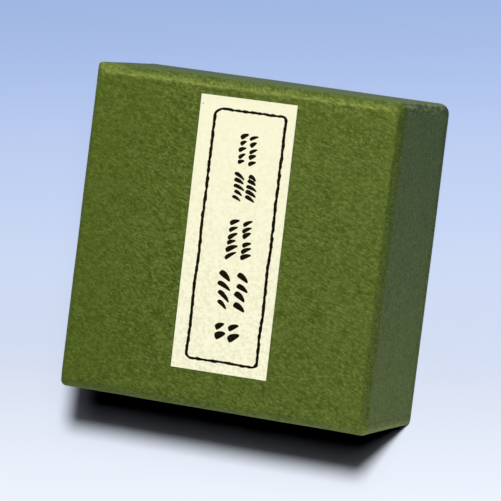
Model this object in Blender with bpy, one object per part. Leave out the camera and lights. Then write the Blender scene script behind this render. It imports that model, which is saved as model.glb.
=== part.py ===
"""A square card box with a full-depth lid, covered in green paper, with a paper slip pasted on the lid.

Metres, +Z up. The origin is on the table, under the middle of the box. +Y points to the head of the
slip and +X to its right. The box lies on its base with the lid on.
"""
import bmesh
import bpy

# The lid, a square cap of board with its paper
BOX_SIDE = 0.075
LID_HEIGHT = 0.033
LID_CARD = 0.002
SHOULDER = 0.0025
SHOULDER_PROFILE = 0.41
RIM_ROUND = 0.0004
INNER_ROUND = 0.0005

# The tray that the lid slides over
TRAY_CARD = 0.0017
SLIDE_GAP = 0.0005
FOOT_DROP = 0.0008

# The slip on the lid
LABEL_WIDTH = 0.0233
LABEL_LENGTH = 0.0625
LABEL_PAPER = 0.0002
LABEL_RIGHT = 0.0007
LABEL_UP = 0.0023
LABEL_TURN = 0.010

# Air between pieces that touch
CONTACT_GAP = 0.0003

# A shoulder wider than this many boards would break through into the hollow at the top corners
SHOULDER_PER_CARD = 1.6

# Facets across a shoulder and across a small round, and the angle in radians past which an edge stays sharp
SHOULDER_STEPS = 6
ROUND_STEPS = 2
SHARP_ANGLE = 0.6

# Two heights closer than this are the same
SAME_HEIGHT = 1e-6

# Heights worked out from the sizes above
lid_top = FOOT_DROP + LID_HEIGHT
lid_ceiling = lid_top - LID_CARD
tray_rim = lid_ceiling - CONTACT_GAP
lid_hollow = BOX_SIDE - 2 * LID_CARD
tray_side = lid_hollow - 2 * SLIDE_GAP
tray_hollow = tray_side - 2 * TRAY_CARD


def clear_scene():
    for thing in list(bpy.data.objects):
        bpy.data.objects.remove(thing)


def new_collection(name):
    collection = bpy.data.collections.new(name)
    bpy.context.scene.collection.children.link(collection)
    return collection


def new_material(name, colour, roughness):
    material = bpy.data.materials.new(name)
    material.use_nodes = True
    shader = material.node_tree.nodes["Principled BSDF"]
    shader.inputs["Base Color"].default_value = (*colour, 1)
    shader.inputs["Roughness"].default_value = roughness
    shader.inputs["Metallic"].default_value = 0
    return material


def is_upright(edge):
    low, high = sorted(vert.co.z for vert in edge.verts)
    return high - low > edge.calc_length() / 2


def lies_at(edge, height):
    return all(abs(vert.co.z - height) < SAME_HEIGHT for vert in edge.verts)


def box_mesh(width, length, low, high):
    """A cube stretched to its size, with its underside at low and its top at high."""
    shape = bmesh.new()
    bmesh.ops.create_cube(shape, size=1)
    bmesh.ops.scale(shape, vec=(width, length, high - low), verts=shape.verts)
    bmesh.ops.translate(shape, vec=(0, 0, (low + high) / 2), verts=shape.verts)
    return shape


def round_edges(shape, edges, radius, steps, profile=0.5):
    bmesh.ops.bevel(
        shape, geom=edges, offset=radius, offset_type="OFFSET", segments=steps, profile=profile,
        affect="EDGES", clamp_overlap=True,
    )


def add_object(name, shape, collection):
    mesh = bpy.data.meshes.new(name)
    shape.to_mesh(mesh)
    shape.free()
    thing = bpy.data.objects.new(name, mesh)
    collection.objects.link(thing)
    return thing


def shade_rounds(thing):
    thing.data.shade_smooth()
    thing.data.set_sharp_from_angle(angle=SHARP_ANGLE)


def add_hollow(name, side, low, high, cutters):
    """A square plug with slightly rounded upright edges, which cuts the hollow out of a block."""
    shape = box_mesh(side, side, low, high)
    uprights = [edge for edge in shape.edges if is_upright(edge)]
    round_edges(shape, uprights, INNER_ROUND, ROUND_STEPS)
    plug = add_object(name, shape, cutters)
    plug.hide_render = True
    plug.display_type = "WIRE"
    return plug


def cut(thing, plug):
    hollow = thing.modifiers.new("hollow", "BOOLEAN")
    hollow.operation = "DIFFERENCE"
    hollow.object = plug


def add_lid(parts, cutters):
    """A block with soft shoulders on top and at its corners, hollowed from below."""
    shape = box_mesh(BOX_SIDE, BOX_SIDE, FOOT_DROP, lid_top)
    shoulders = [edge for edge in shape.edges if is_upright(edge) or lies_at(edge, lid_top)]
    shoulder = min(SHOULDER, SHOULDER_PER_CARD * LID_CARD)
    round_edges(shape, shoulders, shoulder, SHOULDER_STEPS, SHOULDER_PROFILE)
    rim = [edge for edge in shape.edges if lies_at(edge, FOOT_DROP)]
    round_edges(shape, rim, RIM_ROUND, ROUND_STEPS)
    lid = add_object("lid", shape, parts)
    lid.data.materials.append(new_material("green paper on the lid", (0.083, 0.122, 0.017), 0.9))
    cut(lid, add_hollow("lid_hollow", lid_hollow, FOOT_DROP - LID_CARD, lid_ceiling, cutters))
    shade_rounds(lid)


def add_tray(parts, cutters):
    """A block that slides into the lid with its gap all round, hollowed from above."""
    shape = box_mesh(tray_side, tray_side, 0, tray_rim)
    uprights = [edge for edge in shape.edges if is_upright(edge)]
    round_edges(shape, uprights, INNER_ROUND + SLIDE_GAP, ROUND_STEPS)
    foot = [edge for edge in shape.edges if lies_at(edge, 0)]
    round_edges(shape, foot, RIM_ROUND, ROUND_STEPS)
    tray = add_object("tray", shape, parts)
    tray.data.materials.append(new_material("green paper on the tray", (0.078, 0.114, 0.016), 0.9))
    cut(tray, add_hollow("tray_hollow", tray_hollow, TRAY_CARD, tray_rim + TRAY_CARD, cutters))
    shade_rounds(tray)


def add_label(parts):
    """A flat slip that lies on the lid a little off its middle and not quite square to it."""
    label = add_object("label", box_mesh(LABEL_WIDTH, LABEL_LENGTH, 0, LABEL_PAPER), parts)
    label.location = (LABEL_RIGHT, LABEL_UP, lid_top + CONTACT_GAP)
    label.rotation_euler.z = LABEL_TURN
    label.data.materials.append(new_material("cream slip paper", (0.84, 0.86, 0.56), 0.8))


clear_scene()
box_parts = new_collection("paper_covered_box")
box_cutters = new_collection("cutters")
add_lid(box_parts, box_cutters)
add_tray(box_parts, box_cutters)
add_label(box_parts)
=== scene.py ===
"""The finish of a small paper-covered gift box with its lid on and a cream slip pasted on top.

Metres, +Z up. The box lies on its base; +Y points to the head of the slip and +X to its right.
"""

import bpy
import numpy as np
from mathutils import Matrix, Vector
from mathutils.geometry import delaunay_2d_cdt


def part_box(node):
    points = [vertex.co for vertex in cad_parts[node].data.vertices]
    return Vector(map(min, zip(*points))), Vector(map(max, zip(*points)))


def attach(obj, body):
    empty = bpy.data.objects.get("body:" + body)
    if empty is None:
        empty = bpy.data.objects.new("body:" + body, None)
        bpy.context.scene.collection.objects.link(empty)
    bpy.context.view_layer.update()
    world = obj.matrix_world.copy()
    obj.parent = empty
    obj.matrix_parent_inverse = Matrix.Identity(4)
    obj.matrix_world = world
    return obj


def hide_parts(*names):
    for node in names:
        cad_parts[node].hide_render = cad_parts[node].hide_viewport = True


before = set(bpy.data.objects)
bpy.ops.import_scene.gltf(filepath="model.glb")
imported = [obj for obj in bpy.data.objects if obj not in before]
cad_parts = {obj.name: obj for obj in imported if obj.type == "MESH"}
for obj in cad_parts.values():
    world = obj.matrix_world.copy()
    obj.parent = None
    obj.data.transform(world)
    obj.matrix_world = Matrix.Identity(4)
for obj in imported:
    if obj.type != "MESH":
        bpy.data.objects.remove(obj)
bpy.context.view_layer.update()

# Tray
# The lower part of the box: a floor and four walls of greyboard, glued, with green paper pasted outside
# and turned in over the rim, a cream paper lining inside and a square base sheet under the foot.
tray_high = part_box("tray")[1]
TRAY_BOARD = 0.0017
TRAY_CORNER = 0.0010
TRAY_INNER_CORNER = 0.0005
TRAY_TURN_IN = 0.008
BASE_SHEET_MARGIN = 0.003
PAPER = 0.00014
FOLD_ROUND = 0.0004
FOLD_STEPS = 4
LINING_RINGS = 20
TURN_IN_RINGS = 10
OUTSIDE_RINGS = 32
TRAY_CORNER_LINES = 6
TRAY_GRID = 0.0015
GRAIN_HEADING = -0.35
GRAIN_STRETCH = (2.1, 1.0, 1.4)
PULP_SIZE = 0.0010
NAP_SIZE = 0.00042
CLOUD_SIZE = 0.005
TUFT_SIZE = 0.0008
PULP_DEPTH = 0.00015
NAP_DEPTH = 0.00010
GREEN = (0.073, 0.108, 0.0110, 1)
GREEN_SHADE = (0.037, 0.061, 0.0022, 1)
GREEN_PALE = (0.158, 0.203, 0.042, 1)
# Paler green of dye that has come off and of frayed tufts, also used as a painted highlight on the head's
# shoulder
GREEN_WORN_AND_LIT = (0.255, 0.310, 0.070, 1)
# Darker green of the laps' cut edges and of gaps in the fray, also used as a painted shadow of the laps' step
GREEN_SEAM_AND_SHADOW = (0.040, 0.060, 0.0080, 1)
CREAM = (0.80, 0.77, 0.60, 1)
CREAM_SHADE = (0.72, 0.68, 0.50, 1)


def side_lines(half, zone, zone_steps, flat_step):
    """Places along one side from -half to half.

    They are close together within the zone at each end, and about the flat step apart between.
    """
    end = np.linspace(half - zone, half, zone_steps + 1)
    flat = np.linspace(zone - half, half - zone, int(round(2 * (half - zone) / flat_step)) + 1)
    return np.concatenate([-end[::-1], flat[1:-1], end])


def square_loop(across, along):
    """The points of a square's outline, counter-clockwise from above, at the given places on its sides."""
    low, high = across[0], across[-1]
    near, far = along[0], along[-1]
    x = np.concatenate([
        across[:-1], np.full(len(along) - 1, high), across[:0:-1], np.full(len(along) - 1, low),
    ])
    y = np.concatenate([
        np.full(len(across) - 1, near), along[:-1], np.full(len(across) - 1, far), along[:0:-1],
    ])
    return np.column_stack([x, y])


def round_corners(points, half, radius):
    """Points on square rings, moved so that the rings' corners are quarter circles, and the way they face.

    Each point is split into the nearest point of a square that is smaller by the radius, and the rest, which
    is then scaled until it is as long as the radius. The ring faces along the rest.
    """
    core = np.clip(points, (radius - half)[:, None], (half - radius)[:, None])
    rest = points - core
    facing = rest / np.maximum(np.linalg.norm(rest, axis=1), 1e-9)[:, None]
    return core + facing * radius[:, None], facing


def ring(loop, half, corner, height):
    """The outline scaled from its own half side to half, with round corners, at one height."""
    scaled = loop * (half / np.abs(loop).max())
    each = np.ones(len(loop))
    place = round_corners(scaled, half * each, corner * each)[0]
    return np.column_stack([place, height * each])


def quarter(start, end, steps):
    """Places on a quarter ellipse that leaves the start along the first axis and ends along the second."""
    turn = np.linspace(0, np.pi / 2, steps + 1)[:, None]
    start, end = np.array(start), np.array(end)
    return start + (end - start) * np.column_stack([np.sin(turn), 1 - np.cos(turn)])


def bands(rings):
    """The four-sided faces between each two rings that follow one another, as rows of corner numbers."""
    upper, lower = rings[:-1], rings[1:]
    return np.stack([upper, lower, np.roll(lower, -1, 1), np.roll(upper, -1, 1)], 2)


def add_mesh(name, points, faces, surfaces, smooth=True):
    """A mesh object at the origin. Each entry of faces is a table of corner numbers and a finish number."""
    corners = np.concatenate([table.ravel() for table, finish in faces])
    counts = np.concatenate([np.full(len(table), table.shape[1]) for table, finish in faces])
    finishes = np.concatenate([np.full(len(table), finish) for table, finish in faces])
    mesh = bpy.data.meshes.new(name)
    mesh.vertices.add(len(points))
    mesh.vertices.foreach_set("co", np.ascontiguousarray(points, np.float32).ravel())
    mesh.loops.add(len(corners))
    mesh.loops.foreach_set("vertex_index", corners.astype(np.int32))
    mesh.polygons.add(len(counts))
    mesh.polygons.foreach_set("loop_start", (np.cumsum(counts) - counts).astype(np.int32))
    for surface in surfaces:
        mesh.materials.append(surface)
    mesh.polygons.foreach_set("material_index", finishes.astype(np.int32))
    mesh.polygons.foreach_set("use_smooth", np.full(len(counts), smooth))
    mesh.update(calc_edges=True)
    piece = bpy.data.objects.new(name, mesh)
    bpy.context.scene.collection.objects.link(piece)
    return piece


def set_attribute(piece, name, values):
    """A number for each of the mesh's points, which its material reads by name."""
    attribute = piece.data.attributes.new(name, "FLOAT", "POINT")
    attribute.data.foreach_set("value", np.ascontiguousarray(values, np.float32))


def ripples(points, seed, shortest, longest, height, waves=28):
    """Gentle hills all over a surface: a sum of plane waves in random directions.

    Each wave is the sine of the distance along its direction times two pi over its wavelength, plus a random
    start. The waves' sum is scaled so that its typical height is the given one.
    """
    chance = np.random.default_rng(seed)
    heading = chance.normal(size=(waves, 3))
    heading /= np.linalg.norm(heading, axis=1)[:, None]
    stretch = 2 * np.pi / chance.uniform(shortest, longest, waves)
    start = chance.uniform(0, 2 * np.pi, waves)
    return height * np.sqrt(2 / waves) * np.sin(points @ (heading * stretch[:, None]).T + start).sum(1)


def new_surface(name, roughness):
    """A material with its shader, its node tree and the place on the object that its patterns follow."""
    surface = bpy.data.materials.new(name)
    surface.use_nodes = True
    tree = surface.node_tree
    shader = tree.nodes["Principled BSDF"]
    shader.inputs["Roughness"].default_value = roughness
    place = tree.nodes.new("ShaderNodeTexCoord").outputs["Object"]
    return surface, tree, shader, place


def add_noise(tree, place, size, detail, roughness=0.55, distortion=0.0):
    """Cloudy noise whose blots are about the given size across."""
    noise = tree.nodes.new("ShaderNodeTexNoise")
    noise.inputs["Scale"].default_value = 1 / size
    noise.inputs["Detail"].default_value = detail
    noise.inputs["Roughness"].default_value = roughness
    noise.inputs["Distortion"].default_value = distortion
    tree.links.new(place, noise.inputs["Vector"])
    return noise.outputs["Fac"]


def add_range(tree, value, low, high, to_low=0.0, to_high=1.0):
    """The value stretched from one range to another and clamped there."""
    stretch = tree.nodes.new("ShaderNodeMapRange")
    for socket, number in zip(stretch.inputs[1:5], (low, high, to_low, to_high)):
        socket.default_value = number
    tree.links.new(value, stretch.inputs["Value"])
    return stretch.outputs["Result"]


def add_mix(tree, amount, first, second):
    """Two colours mixed; each is a plain colour or another node's output."""
    mix = tree.nodes.new("ShaderNodeMix")
    mix.data_type = "RGBA"
    if isinstance(amount, float):
        mix.inputs["Factor"].default_value = amount
    else:
        tree.links.new(amount, mix.inputs["Factor"])
    for name, colour in (("A", first), ("B", second)):
        socket = next(s for s in mix.inputs if s.name == name and s.type == "RGBA")
        if isinstance(colour, tuple):
            socket.default_value = colour
        else:
            tree.links.new(colour, socket)
    return next(s for s in mix.outputs if s.type == "RGBA")


def add_math(tree, operation, first, second):
    """Two numbers put together; each is a plain number or another node's output."""
    math = tree.nodes.new("ShaderNodeMath")
    math.operation = operation
    for socket, value in zip(math.inputs, (first, second)):
        if isinstance(value, float):
            socket.default_value = value
        else:
            tree.links.new(value, socket)
    return math.outputs[0]


def add_bump(tree, shader, heights):
    """Bumps on the shader's normal: pairs of a height pattern and its depth in metres, coarse first."""
    normal = None
    for height, depth in heights:
        bump = tree.nodes.new("ShaderNodeBump")
        bump.inputs["Distance"].default_value = depth
        tree.links.new(height, bump.inputs["Height"])
        if normal is not None:
            tree.links.new(normal, bump.inputs["Normal"])
        normal = bump.outputs["Normal"]
    tree.links.new(normal, shader.inputs["Normal"])


def add_attribute(tree, name):
    """A number that the mesh keeps at each point."""
    attribute = tree.nodes.new("ShaderNodeAttribute")
    attribute.attribute_name = name
    return attribute.outputs["Fac"]


def add_grain(tree, place, heading, stretch):
    """The place seen along a grain: patterns that follow it are turned by the heading and stretched."""
    grain = tree.nodes.new("ShaderNodeMapping")
    grain.vector_type = "TEXTURE"
    grain.inputs["Rotation"].default_value = (0, 0, heading)
    grain.inputs["Scale"].default_value = stretch
    tree.links.new(place, grain.inputs["Vector"])
    return grain.outputs[0]


def add_distance(tree, place, axis):
    """How far the place is along one axis, in metres."""
    split = tree.nodes.new("ShaderNodeSeparateXYZ")
    tree.links.new(place, split.inputs[0])
    return split.outputs[axis]


def green_paper(name, worn_with_painted_light=False):
    """Thick soft paper of dyed green pulp: blots of darker and paler pulp under a fine, fibrous nap.

    It is painted a little paler on the right and darker and more even on the left, as painted light and
    shade. When its second argument is set, the point attributes for wear, fray and seam say how far the dye
    has come off together with a painted highlight where the head's shoulder faces the light, how far the
    paper is frayed into tufts, and how dark its cut edge is together with a painted shadow of the lap's step.
    """
    surface, tree, shader, place = new_surface(name, 0.6)
    shader.inputs["Specular IOR Level"].default_value = 0.06
    shader.inputs["Sheen Weight"].default_value = 0.045
    shader.inputs["Sheen Roughness"].default_value = 0.4
    shader.inputs["Sheen Tint"].default_value = (1.0, 0.98, 0.80, 1)
    grain = add_grain(tree, place, GRAIN_HEADING, GRAIN_STRETCH)
    pulp = add_noise(tree, grain, PULP_SIZE, 4.0, 0.65, 0.5)
    nap = add_noise(tree, grain, NAP_SIZE, 3.0, 0.75, 0.3)
    cloud = add_noise(tree, place, CLOUD_SIZE, 2.0)
    mottle = add_range(tree, pulp, 0.38, 0.61)
    colour = add_mix(tree, mottle, GREEN_SHADE, GREEN)
    speck = add_range(tree, nap, 0.475, 0.655)
    colour = add_mix(tree, speck, colour, GREEN_PALE)
    patch = add_range(tree, cloud, 0.35, 0.65, -0.04, 0.08)
    # Painted light: the paper is mixed paler towards the right, where the light is stronger
    to_right = add_distance(tree, place, "X")
    painted_light_right = add_range(tree, to_right, -0.03, 0.03, 0.0, 0.15)
    colour = add_mix(tree, add_math(tree, "ADD", patch, painted_light_right), colour, GREEN_PALE)
    # Painted shade: the paper is mixed back towards the plain green on the left, which makes it darker there
    # as well as more even
    even = add_range(tree, to_right, -0.030, -0.012, 0.42, 0.0)
    colour = add_mix(tree, even, colour, GREEN)
    if worn_with_painted_light:
        # Painted highlight: the paler colour of lost dye is also laid on the head's shoulder where it faces
        # the light
        ragged = add_range(tree, add_math(tree, "ADD", pulp, nap), 0.86, 1.12, 0.3, 1.0)
        dye_loss_and_highlight = add_math(tree, "MULTIPLY", add_attribute(tree, "wear_and_highlight"), ragged)
        colour = add_mix(tree, dye_loss_and_highlight, colour, GREEN_WORN_AND_LIT)
        tuft = add_noise(tree, add_grain(tree, place, 0.0, (1, 1, 3)), TUFT_SIZE, 2.0)
        fray = add_attribute(tree, "fray")
        risen = add_math(tree, "MULTIPLY", fray, add_range(tree, tuft, 0.48, 0.60))
        gap = add_math(tree, "MULTIPLY", fray, add_range(tree, tuft, 0.47, 0.37))
        colour = add_mix(tree, risen, colour, GREEN_WORN_AND_LIT)
        colour = add_mix(tree, gap, colour, GREEN_SEAM_AND_SHADOW)
        # Painted shadow: the laps' cut edge is darkened for its own dark edge and for the shadow of the lap's
        # step
        colour = add_mix(tree, add_attribute(tree, "seam_and_shadow"), colour, GREEN_SEAM_AND_SHADOW)
    tree.links.new(colour, shader.inputs["Base Color"])
    add_bump(tree, shader, [(pulp, PULP_DEPTH), (nap, NAP_DEPTH)])
    return surface


def cream_lining(name):
    """Plain cream lining paper, a little cloudy and faintly rough."""
    surface, tree, shader, place = new_surface(name, 0.75)
    cloud = add_noise(tree, place, 0.004, 3.0)
    fleck = add_noise(tree, place, 0.0005, 2.0)
    colour = add_mix(tree, add_range(tree, cloud, 0.35, 0.65), CREAM_SHADE, CREAM)
    tree.links.new(colour, shader.inputs["Base Color"])
    add_bump(tree, shader, [(cloud, 0.00012), (fleck, 0.00003)])
    return surface


tray_half = tray_high.x
tray_rim = tray_high.z
tray_inner = tray_half - TRAY_BOARD
turn_in_end = tray_rim - TRAY_TURN_IN
# Each station is the half side and the height of one ring, from the lining's floor over the rim to the foot.
# The rim's outer edge is rounded, and the same small curve is hollow at the rim's inner edge and at the foot.
tray_stations = np.concatenate([
    [(tray_inner, TRAY_BOARD)],
    [(tray_inner, z) for z in np.linspace(TRAY_BOARD + FOLD_ROUND, turn_in_end - PAPER, LINING_RINGS)],
    [(tray_inner - PAPER, z) for z in np.linspace(turn_in_end, tray_rim - FOLD_ROUND, TURN_IN_RINGS)],
    quarter((tray_inner - PAPER, tray_rim - FOLD_ROUND), (tray_inner + FOLD_ROUND, tray_rim), FOLD_STEPS)[1:],
    quarter((tray_half - FOLD_ROUND, tray_rim), (tray_half, tray_rim - FOLD_ROUND), FOLD_STEPS),
    [(tray_half, z) for z in np.linspace(tray_rim, FOLD_ROUND, OUTSIDE_RINGS)[1:]],
    quarter((tray_half, FOLD_ROUND), (tray_half - FOLD_ROUND, 0), FOLD_STEPS)[1:],
    [(tray_half - BASE_SHEET_MARGIN + PAPER, PAPER), (tray_half - BASE_SHEET_MARGIN, 0)],
])
tray_line = side_lines(tray_half, 2 * TRAY_CORNER, TRAY_CORNER_LINES, TRAY_GRID)
tray_loop = square_loop(tray_line, tray_line)
tray_rings = []
for half, height in tray_stations:
    is_inside = half < tray_half - TRAY_BOARD / 2 and height > TRAY_BOARD / 2
    corner = TRAY_INNER_CORNER if is_inside else TRAY_CORNER
    tray_rings.append(ring(tray_loop, half, corner, height))
tray_points = np.concatenate(tray_rings)
tray_numbers = np.arange(len(tray_points)).reshape(len(tray_rings), -1)
tray_bands = bands(tray_numbers)
tray = add_mesh("tray_covered", tray_points, [
    (tray_numbers[:1], 1),
    (tray_bands[:LINING_RINGS].reshape(-1, 4), 1),
    (tray_bands[LINING_RINGS:].reshape(-1, 4), 0),
    (tray_numbers[-1:, ::-1], 0),
], [green_paper("green paper on the tray"), cream_lining("cream lining in the tray")])
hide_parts("tray")
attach(tray, "root")

# Lid
# A full-depth cap of greyboard, covered with one sheet of soft green paper that rounds the shoulders, laps
# round the uprights onto the right and left sides, and turns in over the rim; lined with cream paper.
lid_low, lid_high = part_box("lid")
LID_BOARD = 0.0020
# The shoulders at the head and the left, and those at the foot and the right: their width across the top,
# their drop down the side, and how round they are where they leave the top and where they meet the side
HEAD_SHOULDER = (0.0020, 0.0020, 1.8, 1.8)
FOOT_SHOULDER = (0.0020, 0.0027, 1.03, 1.4)
SHOULDER_MIX = 0.06
SHOULDER_ZONE = 0.0030
SHOULDER_LINES = 16
# The uprights' radii: at the left and at the right, and of each first the foot's and then the head's
UPRIGHT_ROUNDS = ((0.0013, 0.0010), (0.0019, 0.0024))
RIM_DRAW = 0.00018
RIM_DRAW_START = -0.010
RIGHT_LEAN = 0.0005
LID_GRID = 0.0005
LID_INNER_CORNER = 0.0005
LID_TURN_IN = 0.012
LID_LINING_BANDS = 2
RIM_ROUND = 0.0004
CREST_HEIGHT = 0.00005
CREST_WIDTH = 0.00040
# How wide and how strong the dye loss and the painted highlight along the head's shoulder are
WEAR_AND_HIGHLIGHT_WIDTH = 0.00045
LINE_WEAR_AND_HIGHLIGHT = 0.9
SHOULDER_WEAR_AND_HIGHLIGHT = 0.54
LEFT_END_WEAR_AND_HIGHLIGHT = 0.75
LEFT_END = (0.027, 0.036)
END_MIX = 0.002
HEAD_FRAY = 0.9
FOOT_FRAY = 0.35
SIDE_CREST = 0.3
LAP = 0.0026
LAP_STEP = 0.00010
LAP_EDGE = 0.00014
# How dark the laps' cut edge is painted, for its own edge and as a painted shadow of the lap's step
SEAM_AND_SHADOW_DARKNESS = 0.6
# Each: the shortest and the longest wave, and their height
BOARD_WAVES = (0.012, 0.026, 0.000015)
PULP_WAVES = (0.0011, 0.0026, 0.000008)
BOARD_SEED = 5
PULP_SEED = 6
PAPER_SINK = 0.00009
RELIEF_START = 0.002
lid_half = lid_high.x
lid_top = lid_high.z
lid_inner = lid_half - LID_BOARD
lid_ceiling = lid_top - LID_BOARD


def fade(value, start, end):
    """0 up to the start, 1 from the end on, and a smooth rise, three squares less two cubes, between."""
    t = np.clip((value - start) / (end - start), 0, 1)
    return t * t * (3 - 2 * t)


def upright_radius(points):
    """The radius of the upright edge on a point's own quarter of the box."""
    return np.array(UPRIGHT_ROUNDS)[(points[:, 0] > 0).astype(int), (points[:, 1] > 0).astype(int)]


def shoulder_form(sharp):
    """The four numbers of the shoulder nearest to each point.

    The two kinds are mixed by the difference of x and y over the sum of their sizes: below minus the mix it
    is the head's and the left's shoulder, above the mix the foot's and the right's, and between them a
    smooth rise.
    """
    turn = (sharp[:, 0] - sharp[:, 1]) / np.maximum(np.abs(sharp[:, :2]).sum(1), 1e-9)
    share = fade(turn, -SHOULDER_MIX, SHOULDER_MIX)[:, None]
    return (np.array(HEAD_SHOULDER) * (1 - share) + np.array(FOOT_SHOULDER) * share).T


def soften(sharp):
    """The sharp block's points moved onto the block with soft shoulders, and the way it faces there.

    Each point lies on a square ring round the middle. Near the edge of the top, it has two shares from 0 to
    1: out to the edge and up to the top. The shoulder has the power n where it leaves the top and m where it
    meets the side. The shares are divided by the n-th root of the sum of their n-th powers, and the share up
    is raised to the power n over m, so that out to the n plus up to the m is 1. That gives the ring's new
    half side and height. A power of 1 leaves an edge at the curve's end, and 2 makes it smooth. The ring's
    corners are then rounded by the upright's radius, which fades out in the flat of the top.
    """
    width, drop, leaving, meeting = shoulder_form(sharp)
    reach = np.maximum(np.abs(sharp[:, :2]).max(1), SHOULDER_ZONE)
    flat_half = lid_half - width
    out = np.clip((reach - flat_half) / width, 0, 1)
    up = np.clip((sharp[:, 2] - lid_top) / drop + 1, 0, 1)
    length = (out ** leaving + up ** leaving) ** (1 / leaving)
    out, up = out / length, (up / length) ** (leaving / meeting)
    half = np.minimum(reach, flat_half) + width * out
    height = np.minimum(sharp[:, 2], lid_top - drop) + drop * up
    corner = upright_radius(sharp)
    corner = corner * fade(reach, flat_half - 2 * corner, flat_half)

    place, sideways = round_corners(sharp[:, :2] * (half / reach)[:, None], half, corner)
    level = leaving * out ** (leaving - 1) / width
    upward = meeting * up ** (meeting - 1) / drop
    facing = np.column_stack([sideways * level[:, None], upward])
    facing /= np.linalg.norm(facing, axis=1)[:, None]
    return np.column_stack([place, height]), facing


def crest_line(sharp, width):
    """How near a point of the lid's top is to the line where the flat ends: a bell curve across that line."""
    edge = lid_half - np.abs(sharp[:, :2]).max(1)
    on_top = fade(sharp[:, 2], lid_top - SHOULDER_ZONE, lid_top)
    return on_top * np.exp(-((edge - shoulder_form(sharp)[0]) / width) ** 2)


def end_share(sharp, way):
    """1 on the head's quarter of the box, for a way of 1, or on the foot's, for -1, and 0 on the others."""
    return fade(way * sharp[:, 1] - np.abs(sharp[:, 0]), -END_MIX, END_MIX)


def wear_and_highlight(sharp):
    """How far the dye has come off and a highlight is painted on where the head's shoulder faces the light,
    from 0 to 1, which both are only at the head.

    It is most on a narrow line where the flat top ends, goes on past that line and fades out across the
    shoulder. At the left end it doesn't fade across the shoulder, but only down the side.
    """
    inside = lid_half - np.abs(sharp[:, :2]).max(1)
    on_shoulder = inside < HEAD_SHOULDER[0]
    across = fade(inside, 0, HEAD_SHOULDER[0]) * on_shoulder
    at_left = fade(-sharp[:, 0], *LEFT_END) * on_shoulder
    down = fade(sharp[:, 2], lid_top - SHOULDER_ZONE, lid_top)
    past_line = np.maximum(SHOULDER_WEAR_AND_HIGHLIGHT * across, LEFT_END_WEAR_AND_HIGHLIGHT * at_left * down)
    return end_share(sharp, 1) * np.maximum(LINE_WEAR_AND_HIGHLIGHT * crest_line(sharp, WEAR_AND_HIGHLIGHT_WIDTH), past_line)


def fray(sharp):
    """How frayed the paper is, from 0 to 1: a bell curve across each upright edge, below the shoulders."""
    from_upright = lid_half - np.abs(sharp[:, :2]).min(1)
    across = np.exp(-(from_upright / upright_radius(sharp)) ** 2)
    most = np.where(sharp[:, 1] > 0, HEAD_FRAY, FOOT_FRAY)
    return most * across * fade(lid_top - sharp[:, 2], 0, SHOULDER_ZONE)


def is_on_lap_side(sharp):
    """Whether each point is on the right or the left side, which the laps are on, and below the shoulder."""
    return (np.abs(sharp[:, 0]) >= lid_half) & (sharp[:, 2] < lid_top - SHOULDER_ZONE / 2)


def seam_and_shadow(sharp):
    """How dark the cut edge of the head's laps is painted, on the right and left sides, both its own darker
    edge and a painted shadow of the lap's step: a bell curve across it.
    """
    return SEAM_AND_SHADOW_DARKNESS * is_on_lap_side(sharp) * np.exp(-((lid_half - sharp[:, 1] - LAP) / LAP_EDGE) ** 2)


def relief(sharp, soft):
    """How far the paper stands off the smooth block, in metres.

    It is the board's slow waves plus the pulp's small ones, less a little so that the paper keeps within the
    block, plus a low ridge where the flat top ends, which is lower still along the right and left sides. On
    those sides the sheet between the two laps lies a step lower. All of it fades out at the rim.
    """
    slow = ripples(soft, BOARD_SEED, *BOARD_WAVES)
    small = ripples(soft, PULP_SEED, *PULP_WAVES)
    below_lap = fade(lid_half - np.abs(sharp[:, 1]), LAP, LAP + LAP_EDGE) * is_on_lap_side(sharp)
    at_ends = end_share(sharp, 1) + end_share(sharp, -1)
    crest = CREST_HEIGHT * (SIDE_CREST + (1 - SIDE_CREST) * at_ends) * crest_line(sharp, CREST_WIDTH)
    lift = slow + small - PAPER_SINK + crest - LAP_STEP * below_lap
    return lift * fade(sharp[:, 2], lid_low.z + RIM_ROUND, lid_low.z + RELIEF_START)


def cover(sharp):
    """A point of the sharp block, carried onto the paper's surface, and the way the paper faces there."""
    soft, facing = soften(sharp)
    return soft + facing * relief(sharp, soft)[:, None], facing


def draw_in(points):
    """The lid's points with the rim drawn in at the head right corner, and the right side leaning in upwards.

    At the corner, a point moves to the left and to the foot by the draw times three shares from 0 to 1: how
    far it is down from the top to the rim, how far it is to the right and how far it is to the head. On the
    right, the board's outer skin moves to the left by the lean times its share of the way up from the rim.
    """
    down = fade(lid_top - points[:, 2], 0, lid_top - lid_low.z)
    across = fade(points[:, 0], RIM_DRAW_START, lid_half)
    along = fade(points[:, 1], 0, lid_half)
    up = np.clip((points[:, 2] - lid_low.z) / (lid_top - lid_low.z), 0, 1)
    lean = RIGHT_LEAN * up * fade(points[:, 0], lid_inner, lid_half)
    drawn = np.outer(RIM_DRAW * down * across * along, [1, 1, 0])
    return points - drawn - np.outer(lean, [1, 0, 0])


lid_across = side_lines(lid_half, SHOULDER_ZONE, SHOULDER_LINES, LID_GRID)
lap_lines = lid_half - LAP - np.array([0, LAP_EDGE])
lid_along = np.sort(np.concatenate([lid_across, lap_lines, -lap_lines]))
lattice = np.stack(np.meshgrid(lid_across, lid_along, indexing="ij"), 2).reshape(-1, 2)
lattice_numbers = np.arange(len(lattice)).reshape(len(lid_across), len(lid_along))
edge_numbers = np.concatenate([
    lattice_numbers[:-1, 0], lattice_numbers[-1, :-1], lattice_numbers[:0:-1, -1], lattice_numbers[0, :0:-1],
])
top_faces = np.stack([
    lattice_numbers[:-1, :-1], lattice_numbers[1:, :-1], lattice_numbers[1:, 1:], lattice_numbers[:-1, 1:],
], 2).reshape(-1, 4)
lid_loop = square_loop(lid_across, lid_along)

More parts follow.
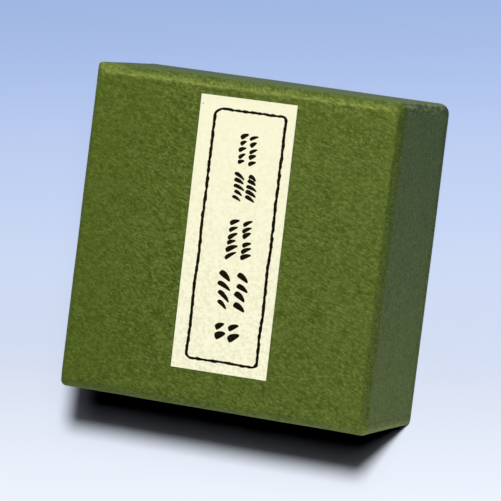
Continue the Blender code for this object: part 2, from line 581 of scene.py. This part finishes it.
shoulder_heights = np.linspace(lid_top, lid_top - SHOULDER_ZONE, SHOULDER_LINES + 1)[1:]
wall_low = lid_low.z + RIM_ROUND
wall_steps = int(round((shoulder_heights[-1] - wall_low) / LID_GRID))
wall_heights = np.concatenate([
    shoulder_heights, np.linspace(shoulder_heights[-1], wall_low, wall_steps + 1)[1:],
])
sharp_walls = np.concatenate([
    np.column_stack([lid_loop, np.full(len(lid_loop), height)]) for height in wall_heights
])
sharp_top = np.column_stack([lattice, np.full(len(lattice), lid_top)])
sharp_block = np.concatenate([sharp_top, sharp_walls])
outer_points = cover(sharp_block)[0]

lid_turn_in = lid_low.z + LID_TURN_IN
# The half side and the height of each further ring, from the rim up the inside to the ceiling. The rim's
# inner edge is rounded, and at its outer edge the same small curve is hollow.
inner_stations = np.concatenate([
    quarter((lid_half, wall_low), (lid_half - RIM_ROUND, lid_low.z), FOLD_STEPS)[1:],
    quarter((lid_inner + RIM_ROUND - PAPER, lid_low.z), (lid_inner - PAPER, wall_low), FOLD_STEPS),
    [(lid_inner - PAPER, lid_turn_in)],
    [(lid_inner, lid_turn_in + PAPER), (lid_inner, lid_ceiling)],
])
inner_rings = []
for half, height in inner_stations:
    is_inside = half < lid_half - LID_BOARD / 2
    corner = LID_INNER_CORNER if is_inside else upright_radius(lid_loop)
    inner_rings.append(ring(lid_loop, half, corner, height))
lid_points = np.concatenate([outer_points] + inner_rings)
ring_numbers = np.concatenate([
    [edge_numbers],
    len(lattice) + np.arange(len(lid_points) - len(lattice)).reshape(-1, len(lid_loop)),
])
lid_bands = bands(ring_numbers)
lid = add_mesh("lid_covered", draw_in(lid_points), [
    (top_faces, 0),
    (lid_bands[:-LID_LINING_BANDS].reshape(-1, 4), 0),
    (lid_bands[-LID_LINING_BANDS:].reshape(-1, 4), 1),
    (ring_numbers[-1:, ::-1], 1),
], [green_paper("green paper on the lid", worn_with_painted_light=True), cream_lining("cream lining in the lid")])
inside_zeros = np.zeros(len(lid_points) - len(outer_points))
# These attributes carry the painted highlight on the head's shoulder and the painted shadow at the laps' cut
# edge, besides the dye loss, the fray and the edge's own darkness
set_attribute(lid, "wear_and_highlight", np.concatenate([wear_and_highlight(sharp_block), inside_zeros]))
set_attribute(lid, "fray", np.concatenate([fray(sharp_block), inside_zeros]))
set_attribute(lid, "seam_and_shadow", np.concatenate([seam_and_shadow(sharp_block), inside_zeros]))
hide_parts("lid")
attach(lid, "root")

# Fibres of the lid's paper
# Long pale fibres that lie on the green sheet and were pressed into it as the pulp dried. Each is a low
# ribbon, thinner at its ends, that follows the paper, also round the shoulders.
FIBRE_COUNT = 3200
FIBRE_STEPS = 5
FIBRE_LENGTH = 0.0013
FIBRE_WIDTH = 0.00013
FIBRE_RISE = 0.00003
FIBRE_SINK = 0.00002
FIBRE_BEND = 260
FIBRE_HEADING = -0.8
FIBRE_HEADING_SPREAD = 0.55
FIBRE_LENGTH_SPREAD = 0.42
FIBRE_WIDTHS = (0.7, 1.25)
FIBRE_PALENESS = (1.4, 2.2)
FIBRE_SIDE_SHARE = 0.62
FIBRE_MARGIN = 0.0005
FIBRE_RIM_MARGIN = 0.003
FIBRE_SEED = 11
# A little over 1, so that a fibre's ends keep some width
FIBRE_TIP = 1.02
FIBRE_PALE = (0.185, 0.235, 0.060, 1)
FIBRE_DULL = (0.095, 0.135, 0.018, 1)


def fold_sheet(flat):
    """Points of the flat sheet, folded over the block's edges: what passes an edge goes down that side."""
    beyond = np.maximum(np.abs(flat) - lid_half, 0).sum(1)
    return np.column_stack([np.clip(flat, -lid_half, lid_half), lid_top - beyond])


def lay_fibres(seed):
    """The points, faces and paleness of all the fibres.

    A fibre's middle line leaves its centre both ways along its heading and bends by half its bend times the
    square of the distance. With t from -1 to 1 along it, its ridge's rise goes with the tip's number less the
    fourth power of t, and its width with the square root of that. Left, right and ridge lines run along it,
    and each end is closed.
    """
    chance = np.random.default_rng(seed)
    reach = lid_half + lid_top - lid_low.z - FIBRE_RIM_MARGIN
    inside = lid_half - FIBRE_MARGIN
    cross = chance.uniform(-inside, inside, (FIBRE_COUNT, 2))
    outward = chance.uniform(-reach, reach, FIBRE_COUNT)
    is_side = chance.random(FIBRE_COUNT) < FIBRE_SIDE_SHARE
    side_axis = (chance.random(FIBRE_COUNT) < 0.5).astype(int)
    centre = cross.copy()
    rows = np.arange(FIBRE_COUNT)
    centre[rows, side_axis] = np.where(is_side, outward, centre[rows, side_axis])
    heading = np.where(
        chance.random(FIBRE_COUNT) < 0.5,
        chance.normal(FIBRE_HEADING, FIBRE_HEADING_SPREAD, FIBRE_COUNT),
        chance.uniform(0, np.pi, FIBRE_COUNT),
    )
    length = FIBRE_LENGTH * np.exp(chance.normal(0, FIBRE_LENGTH_SPREAD, FIBRE_COUNT))
    bend = chance.normal(0, FIBRE_BEND, FIBRE_COUNT)
    width = FIBRE_WIDTH * chance.uniform(*FIBRE_WIDTHS, FIBRE_COUNT)
    paleness = chance.beta(*FIBRE_PALENESS, FIBRE_COUNT)

    t = np.linspace(-1, 1, FIBRE_STEPS + 1)
    along = length[:, None] / 2 * t
    sideways = bend[:, None] / 2 * along ** 2
    ahead = np.column_stack([np.cos(heading), np.sin(heading)])
    left = np.column_stack([-ahead[:, 1], ahead[:, 0]])
    middle = centre[:, None] + along[..., None] * ahead[:, None] + sideways[..., None] * left[:, None]
    half_width = width[:, None] / 2 * np.sqrt(FIBRE_TIP - t ** 4)
    offset = half_width[..., None] * left[:, None]
    lines = np.stack([middle + offset, middle - offset, middle], 2)
    rise = np.stack([0 * t - FIBRE_SINK, 0 * t - FIBRE_SINK, FIBRE_RISE * (FIBRE_TIP - t ** 4)], 1)
    points, facing = cover(fold_sheet(lines.reshape(-1, 2)))
    points = draw_in(points + facing * np.tile(rise.ravel(), FIBRE_COUNT)[:, None])

    numbers = np.arange(len(points)).reshape(FIBRE_COUNT, FIBRE_STEPS + 1, 3)
    here, there = numbers[:, :-1], numbers[:, 1:]
    sides = np.stack([np.roll(here, -1, 2), here, there, np.roll(there, -1, 2)], 3).reshape(-1, 4)
    tails = numbers[:, 0]
    heads = numbers[:, -1, ::-1]
    return points, sides, np.concatenate([tails, heads]), np.repeat(paleness, numbers[0].size)


def fibre_surface():
    """Bare pulp fibre, from dull to pale green by the point attribute "paleness"."""
    surface, tree, shader, place = new_surface("pale fibre", 0.75)
    shader.inputs["Specular IOR Level"].default_value = 0.08
    patchy = add_range(tree, add_noise(tree, place, 0.0004, 2.0), 0.35, 0.6, 0.5, 1.0)
    shade = add_math(tree, "MULTIPLY", add_attribute(tree, "paleness"), patchy)
    tree.links.new(add_mix(tree, shade, FIBRE_DULL, FIBRE_PALE), shader.inputs["Base Color"])
    return surface


fibre_points, fibre_sides, fibre_ends, fibre_paleness = lay_fibres(FIBRE_SEED)
fibres = add_mesh("lid_fibres", fibre_points, [(fibre_sides, 0), (fibre_ends, 0)], [fibre_surface()])
set_attribute(fibres, "paleness", fibre_paleness)
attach(fibres, "root")

# Slip
# A strip of smooth cream paper, cut by knife and pasted flat on the lid, a little off its middle. A brushed
# black line goes round it inside its edges, and groups of short brush dabs run down its middle.
label_low, label_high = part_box("label")
SLIP_WIDTH = 0.02304
SLIP_LENGTH = 0.06215
SLIP_TURN = 0.010
SLIP_SHIFT = Vector((0.000164, 0.000164, 0))
SLIP_PAPER = 0.00014
SLIP_EDGE_LIFT = 0.00004
SLIP_EDGE_REACH = 0.0012
# The shortest and the longest wave of the slip's edges, and their height
SLIP_EDGE_WAVES = (0.010, 0.030, 0.5)
SLIP_EDGE_SEED = 8
# How far the slip's underside is above the board's waves, in heights of the pulp's waves
SLIP_CLEARANCE = 2.2
SLIP_SEED = 21
SLIP_GRID = 0.0014
SLIP_CREAM = (0.975, 0.952, 0.705, 1)
SLIP_CREAM_SHADE = (0.825, 0.800, 0.570, 1)
INK = (0.0060, 0.0042, 0.0006, 1)
INK_THIN = (0.013, 0.0095, 0.0040, 1)
BORDER_LEFT = 0.00357
BORDER_RIGHT = 0.02053
BORDER_TOP = 0.00288
BORDER_BOTTOM = 0.05956
BORDER_TURN = 0.006
BORDER_CORNERS = (0.0008, 0.0010, 0.0010, 0.0019)
BORDER_STROKE = 0.00072
BORDER_THINNING = 0.17
BORDER_POINTS = 600
BORDER_CORNER_POINTS = 12
# The hand's slow drift, its shake and its changing pressure: the shortest and longest wave and the height
BORDER_DRIFT = (0.006, 0.020, 0.00004)
BORDER_SHAKE = (0.0010, 0.004, 0.00003)
BORDER_PRESSURE = (0.0009, 0.005, 0.00004)
DAB_POINTS = 20
DAB_SCATTER = 0.00012
DAB_LENGTHS = (0.72, 1.04)
DAB_WIDTHS = (0.80, 1.15)
DAB_LEAN_SPREAD = 0.10
DAB_BLUNTNESS = 0.6
DAB_TAPER = 0.40
DAB_BEND = 0.12
MM = 0.001
# Each group of dabs: its top, bottom, left and right edge on the slip in mm, rows, dabs a row, the stroke's
# length and width in mm, and how far its dabs rise to the right, in radians
DAB_GROUPS = (
    (7.8, 14.9, 10.0, 15.0, 5, 2, 2.3, 0.88, 0.45),
    (16.7, 22.9, 9.8, 15.8, 5, 2, 2.8, 0.92, -0.40),
    (26.9, 36.0, 9.5, 16.4, 6, 2, 3.1, 0.98, 0.50),
    (39.0, 47.8, 8.6, 16.9, 4, 2, 3.7, 1.18, -0.60),
    (50.4, 54.5, 9.0, 15.8, 2, 2, 3.2, 1.40, 0.50),
)
# A speck of ink: x and y on the slip, and its radius
SPECK = (0.0006, 0.0022, 0.00013)
SPECK_POINTS = 9


def rounded_outline(left, right, top, bottom, corners, count):
    """A rectangle with round corners as even points, clockwise on the page from its top right corner.

    Its corners are quarter circles. The corner arcs' points, joined by straight lines, are measured along
    their length, and count points are read off at equal steps of it. The steps are returned too.
    """
    centres = ((right, top, -1, 1), (right, bottom, -1, -1), (left, bottom, 1, -1), (left, top, 1, 1))
    arcs = []
    for number, (radius, (x, y, inward_x, inward_y)) in enumerate(zip(corners, centres)):
        turn = np.linspace(0, np.pi / 2, BORDER_CORNER_POINTS) + number * np.pi / 2
        centre = np.array([x + inward_x * radius, y + inward_y * radius])
        arcs.append(centre + radius * np.column_stack([np.sin(turn), -np.cos(turn)]))
    path = np.concatenate(arcs + [arcs[0][:1]])
    reach = np.concatenate([[0], np.cumsum(np.linalg.norm(np.diff(path, axis=0), axis=1))])
    steps = np.linspace(0, reach[-1], count, endpoint=False)
    return np.column_stack([np.interp(steps, reach, path[:, 0]), np.interp(steps, reach, path[:, 1])]), steps


def wander(steps, total, chance, shortest, longest, height, waves=9):
    """An unsteady hand on a closed line: a sum of sines, each with a whole number of waves round it."""
    turns = np.round(total / chance.uniform(shortest, longest, waves))
    start = chance.uniform(0, 2 * np.pi, waves)
    phase = 2 * np.pi * steps[:, None] / total * turns + start
    return height * np.sqrt(2 / waves) * np.sin(phase).sum(1)


def brush_border(chance):
    """The outer and the inner outline of the brushed line.

    They are its middle line moved along its normal by half the stroke, outward and inward, where both the
    middle line and the stroke wander a little. The stroke is thinner where it runs across the slip, and the
    whole line is turned a little on it.
    """
    middle, steps = rounded_outline(
        BORDER_LEFT, BORDER_RIGHT, BORDER_TOP, BORDER_BOTTOM, BORDER_CORNERS, BORDER_POINTS,
    )
    total = steps[-1] + steps[1]
    from_centre = middle - np.array([SLIP_WIDTH, SLIP_LENGTH]) / 2
    middle = middle + BORDER_TURN * np.column_stack([-from_centre[:, 1], from_centre[:, 0]])
    ahead = np.roll(middle, -1, 0) - np.roll(middle, 1, 0)
    ahead /= np.linalg.norm(ahead, axis=1)[:, None]
    outward = np.column_stack([ahead[:, 1], -ahead[:, 0]])
    drift = wander(steps, total, chance, *BORDER_DRIFT)
    drift = drift + wander(steps, total, chance, *BORDER_SHAKE)
    stroke = BORDER_STROKE / 2 * (1 - BORDER_THINNING * np.abs(ahead[:, 0]))
    stroke = stroke + wander(steps, total, chance, *BORDER_PRESSURE)
    return middle + outward * (drift + stroke)[:, None], middle + outward * (drift - stroke)[:, None]


def brush_dabs(chance):
    """The outlines of all the dabs, as an array of dab, point, and x and y on the slip.

    A dab is an ellipse with blunt ends, because its height goes with a power below one of the sine of the
    turn. Its far end is drawn in, by a share of the cosine, and it is bent by a parabola.
    """
    places, sizes = [], []
    for top, bottom, left, right, rows, columns, length, width, rise in DAB_GROUPS:
        row, column = np.divmod(np.arange(rows * columns), columns)
        places.append(np.column_stack([
            left + (column + 0.5) * (right - left) / columns,
            top + (row + 0.5) * (bottom - top) / rows,
        ]))
        sizes.append(np.tile((length / 2, width, rise), (len(row), 1)))
    places = np.concatenate(places) * MM
    places = places + chance.normal(0, DAB_SCATTER, places.shape)
    reach, stroke, lean = np.concatenate(sizes).T
    reach = reach * MM * chance.uniform(*DAB_LENGTHS, len(places))
    stroke = stroke * MM * chance.uniform(*DAB_WIDTHS, len(places))
    lean = lean + chance.normal(0, DAB_LEAN_SPREAD, len(places))
    turn = np.linspace(0, 2 * np.pi, DAB_POINTS, endpoint=False)
    along = reach[:, None] * np.cos(turn)
    blunt = np.sign(np.sin(turn)) * np.abs(np.sin(turn)) ** DAB_BLUNTNESS
    across = stroke[:, None] / 2 * blunt * (1 - DAB_TAPER * np.cos(turn))
    across = across + DAB_BEND * (along ** 2 / reach[:, None] - reach[:, None] / 2)
    x = along * np.cos(lean)[:, None] + across * np.sin(lean)[:, None]
    y = along * -np.sin(lean)[:, None] + across * np.cos(lean)[:, None]
    return places[:, None] + np.stack([x, y], 2)


def lay_slip(page):
    """Where a point of the page lies on the lid: x to the right and y down from the slip's head left corner.

    The slip follows the lid's slow waves, just above the crests of the pulp's small ones, and its edges stand
    off the lid a little more, here and there.
    """
    x = page[:, 0] - SLIP_WIDTH / 2
    y = SLIP_LENGTH / 2 - page[:, 1]
    edge = np.minimum(SLIP_WIDTH / 2 - np.abs(x), SLIP_LENGTH / 2 - np.abs(y))
    centre = (label_low + label_high) / 2 + SLIP_SHIFT
    place = np.column_stack([
        centre.x + x * np.cos(SLIP_TURN) - y * np.sin(SLIP_TURN),
        centre.y + x * np.sin(SLIP_TURN) + y * np.cos(SLIP_TURN),
        np.full(len(page), lid_top),
    ])
    height = ripples(place, BOARD_SEED, *BOARD_WAVES) - PAPER_SINK + SLIP_CLEARANCE * PULP_WAVES[2]
    loose = np.clip(1 + ripples(place, SLIP_EDGE_SEED, *SLIP_EDGE_WAVES), 0, 2)
    place[:, 2] += height + SLIP_EDGE_LIFT * np.exp(-edge / SLIP_EDGE_REACH) * loose
    return place


def slip_outline():
    """The cut edge of the slip, a point every grid step, clockwise on the page from its head left corner."""
    across = np.linspace(0, SLIP_WIDTH, int(SLIP_WIDTH / SLIP_GRID) + 1)
    down = np.linspace(0, SLIP_LENGTH, int(SLIP_LENGTH / SLIP_GRID) + 1)
    return np.concatenate([
        np.column_stack([across[:-1], 0 * across[:-1]]),
        np.column_stack([SLIP_WIDTH + 0 * down[:-1], down[:-1]]),
        np.column_stack([across[:0:-1], SLIP_LENGTH + 0 * across[:-1]]),
        np.column_stack([0 * down[:-1], down[:0:-1]]),
    ])


def speck_outline():
    """The points of a small circle of ink near the slip's head left corner."""
    turn = np.linspace(0, 2 * np.pi, SPECK_POINTS, endpoint=False)
    return np.array(SPECK[:2]) + SPECK[2] * np.column_stack([np.cos(turn), np.sin(turn)])


def cut_slip(chance):
    """The slip's face cut into triangles along the inked outlines, with the ink's triangles marked.

    A triangle is ink where an odd number of the inked outlines lie round it, so the border's inside is bare.
    """
    outline = slip_outline()
    outer, inner = brush_border(chance)
    dabs = brush_dabs(chance)
    outlines = [outline, outer, inner, *dabs, speck_outline()]
    margin = SLIP_GRID * 0.6
    spread = np.stack(np.meshgrid(
        np.arange(margin, SLIP_WIDTH - margin / 2, SLIP_GRID),
        np.arange(margin, SLIP_LENGTH - margin / 2, SLIP_GRID),
    ), 2).reshape(-1, 2)
    points = np.concatenate(outlines + [spread]) / MM
    sizes = [len(one) for one in outlines]
    starts = np.cumsum([0] + sizes[:-1])
    rounds = [list(range(start, start + size)) for start, size in zip(starts, sizes)]
    corners, _, triangles, _, _, within = delaunay_2d_cdt(
        [Vector(point) for point in points.tolist()], [], rounds, 1, 1e-6, True,
    )
    triangles = np.array(triangles)
    is_ink = np.array([sum(number > 0 for number in around) % 2 == 1 for around in within])
    return np.array([tuple(corner) for corner in corners]) * MM, triangles, is_ink, len(outline)


def slip_paper():
    """Smooth cream paper, painted darker and a little yellower towards its head as painted shade against the
    brighter light there, with fine darker flecks and a fine tooth.
    """
    surface, tree, shader, place = new_surface("cream slip paper", 0.62)
    fleck = add_noise(tree, place, 0.0009, 3.0, 0.7)
    tooth = add_noise(tree, place, 0.0004, 3.0)
    # Painted shade: darker and a little yellower towards the head, against the brighter light there
    painted_shade_to_head = add_range(tree, add_distance(tree, place, "Y"), -0.028, 0.033, 0.0, 0.85)
    colour = add_mix(tree, painted_shade_to_head, SLIP_CREAM, SLIP_CREAM_SHADE)
    colour = add_mix(tree, add_range(tree, fleck, 0.56, 0.38), colour, SLIP_CREAM_SHADE)
    tree.links.new(colour, shader.inputs["Base Color"])
    add_bump(tree, shader, [(tooth, 0.00003)])
    return surface


def slip_ink():
    """Black ink, a touch browner where the brush ran dry."""
    surface, tree, shader, place = new_surface("brushed black ink", 0.7)
    shader.inputs["Specular IOR Level"].default_value = 0.04
    dry = add_noise(tree, place, 0.0007, 3.0)
    colour = add_mix(tree, add_range(tree, dry, 0.45, 0.75), INK, INK_THIN)
    tree.links.new(colour, shader.inputs["Base Color"])
    return surface


page, page_triangles, page_ink, page_edge = cut_slip(np.random.default_rng(SLIP_SEED))
slip_under = lay_slip(page)
slip_over = slip_under + np.array([0, 0, SLIP_PAPER])
under = np.arange(page_edge)
over = under + len(page)
# The page's y runs down, so a triangle whose signed area is negative there faces up on the lid
page_corners = page[page_triangles]
signed = np.cross(page_corners[:, 1] - page_corners[:, 0], page_corners[:, 2] - page_corners[:, 0])
page_triangles = np.where((signed < 0)[:, None], page_triangles, page_triangles[:, ::-1])
slip = add_mesh("label_inked", np.concatenate([slip_under, slip_over]), [
    (page_triangles[page_ink] + len(page), 1),
    (page_triangles[~page_ink] + len(page), 0),
    (page_triangles[:, ::-1], 0),
    (np.column_stack([under, over, np.roll(over, -1), np.roll(under, -1)]), 0),
], [slip_paper(), slip_ink()], smooth=False)
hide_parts("label")
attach(slip, "root")

# Floor
# A wide sheet of pale paper under the box, blue past its head and near white before its foot. It isn't part
# of the object.
FLOOR_HALF = 1.5
SHEET_TURN = 0.132
# Each: how far along the sheet it is, and about the tone that the sheet has there once lit
SHEET_TONES = (
    (-0.060, (0.855, 0.900, 0.990, 1)),
    (-0.030, (0.680, 0.745, 0.895, 1)),
    (0.000, (0.590, 0.685, 0.905, 1)),
    (0.030, (0.466, 0.578, 0.858, 1)),
    (0.060, (0.335, 0.460, 0.755, 1)),
)
FLOOR_LIGHT = 1.15
floor = add_mesh("floor", np.array([
    (-FLOOR_HALF, -FLOOR_HALF, 0), (FLOOR_HALF, -FLOOR_HALF, 0),
    (FLOOR_HALF, FLOOR_HALF, 0), (-FLOOR_HALF, FLOOR_HALF, 0),
]), [(np.arange(4)[None], 0)], [])


def floor_sheet():
    """The sheet's tones, mixed from stop to stop along its own turned +Y."""
    surface, tree, shader, place = new_surface("pale floor sheet", 0.9)
    shader.inputs["Specular IOR Level"].default_value = 0.0
    to_head = add_distance(tree, add_grain(tree, place, SHEET_TURN, (1, 1, 1)), "Y")
    low, high = SHEET_TONES[0][0], SHEET_TONES[-1][0]
    tones = tree.nodes.new("ShaderNodeValToRGB")
    tones.color_ramp.interpolation = "CARDINAL"
    stops = tones.color_ramp.elements
    for number, (y, tone) in enumerate(SHEET_TONES):
        stop = stops[number] if number < 2 else stops.new(1.0)
        stop.position = (y - low) / (high - low)
        stop.color = tuple(part / FLOOR_LIGHT for part in tone[:3]) + (1,)
    tree.links.new(add_range(tree, to_head, low, high), tones.inputs["Fac"])
    tree.links.new(tones.outputs["Color"], shader.inputs["Base Color"])
    return surface


floor.data.materials.append(floor_sheet())

# Studio light
# A soft lamp high up past the head right corner, with a wide faint halo, lights the floor and throws the
# box's shadow towards its foot and its left. The box has lamps of its own: a high one, a low one past the
# head, which picks out the folded edges, and soft fills.
box_pieces = (tray, lid, fibres, slip)
box_only = bpy.data.collections.new("lit_box")
for piece in box_pieces:
    box_only.objects.link(piece)
floor_only = bpy.data.collections.new("lit_floor")
floor_only.objects.link(floor)
# The sine of the floor key's height of 61.9 degrees, which is how much of its light a level floor takes
KEY_SLANT = 0.882
# Each lamp: the way to it, as degrees from +X towards +Y and degrees up, its distance and its width, the
# brightness of white paper that faces it, its colour, and what it lights
LAMPS = (
    ("floor key", 54, 61.9, 6.0, 0.84, 0.90 * FLOOR_LIGHT / KEY_SLANT, (1, 1, 1), floor_only),
    ("floor key's halo", 54, 61.9, 6.0, 2.50, 0.125 * FLOOR_LIGHT / KEY_SLANT, (1, 1, 1), floor_only),
    ("high key", 70, 72, 0.50, 0.20, 0.29, (1, 1, 1), box_only),
    ("low key past the head", 100, 40, 0.45, 0.14, 0.92, (1, 1, 0.97), box_only),
    ("fill before the foot", -82, 26, 0.60, 0.50, 0.50, (0.92, 0.97, 1), box_only),
    ("right fill", -45, 3, 0.16, 0.12, 0.24, (1, 1, 0.96), box_only),
    ("left fill", 180, 24, 0.60, 0.50, 0.05, (0.95, 0.98, 1), box_only),
)


def direction(azimuth, elevation):
    """The unit vector that points the given degrees from +X towards +Y and up."""
    turn, rise = np.radians(azimuth), np.radians(elevation)
    return Vector((np.cos(turn) * np.cos(rise), np.sin(turn) * np.cos(rise), np.sin(rise)))


for name, azimuth, elevation, distance, width, brightness, colour, lit in LAMPS:
    lamp = bpy.data.lights.new(name, "AREA")
    lamp.shape = "DISK"
    lamp.size = width
    lamp.energy = brightness * (np.pi * distance) ** 2
    lamp.color = colour
    # With it, light would leak into the shadow through the box, which the floor's own rays pass
    lamp.cycles.use_multiple_importance_sampling = False
    lamp_object = bpy.data.objects.new(name, lamp)
    towards = direction(azimuth, elevation)
    lamp_object.location = towards * distance + Vector((0, 0, lid_top))
    lamp_object.rotation_euler = towards.to_track_quat("Z", "Y").to_euler()
    bpy.context.scene.collection.objects.link(lamp_object)
    lamp_object.light_linking.receiver_collection = lit
for piece in box_pieces:
    piece.visible_diffuse = False

SKY = (0.55, 0.66, 0.90, 1)
world = bpy.data.worlds.new("pale studio")
bpy.context.scene.world = world
world.use_nodes = True
world.node_tree.nodes["Background"].inputs["Color"].default_value = SKY
world.cycles_visibility.diffuse = False
world.cycles_visibility.glossy = False
bpy.context.scene.view_settings.view_transform = "Standard"

# Camera
# It looks down on the lid from the right. In the picture the slip's head is up and leans a little to the
# right.
AIM = Vector((0.00520, -0.00001, lid_top))
CAMERA_DISTANCE = 0.8168
CAMERA_AZIMUTH = 13.12
CAMERA_ELEVATION = 69.83
PICTURE_TURN = 7.570
CAMERA_LENS = 261.62
CAMERA_SENSOR = 36.0
back = direction(CAMERA_AZIMUTH, CAMERA_ELEVATION)
up_hint = Vector((-np.sin(np.radians(PICTURE_TURN)), np.cos(np.radians(PICTURE_TURN)), 0))
right = up_hint.cross(back).normalized()
up = back.cross(right)
lens = bpy.data.cameras.new("camera")
lens.lens = CAMERA_LENS
lens.sensor_width = CAMERA_SENSOR
lens.clip_start = 0.05
camera = bpy.data.objects.new("camera", lens)
camera_turn = Matrix((right, up, back)).transposed().to_4x4()
camera.matrix_world = Matrix.Translation(AIM + back * CAMERA_DISTANCE) @ camera_turn
bpy.context.scene.collection.objects.link(camera)
bpy.context.scene.camera = camera
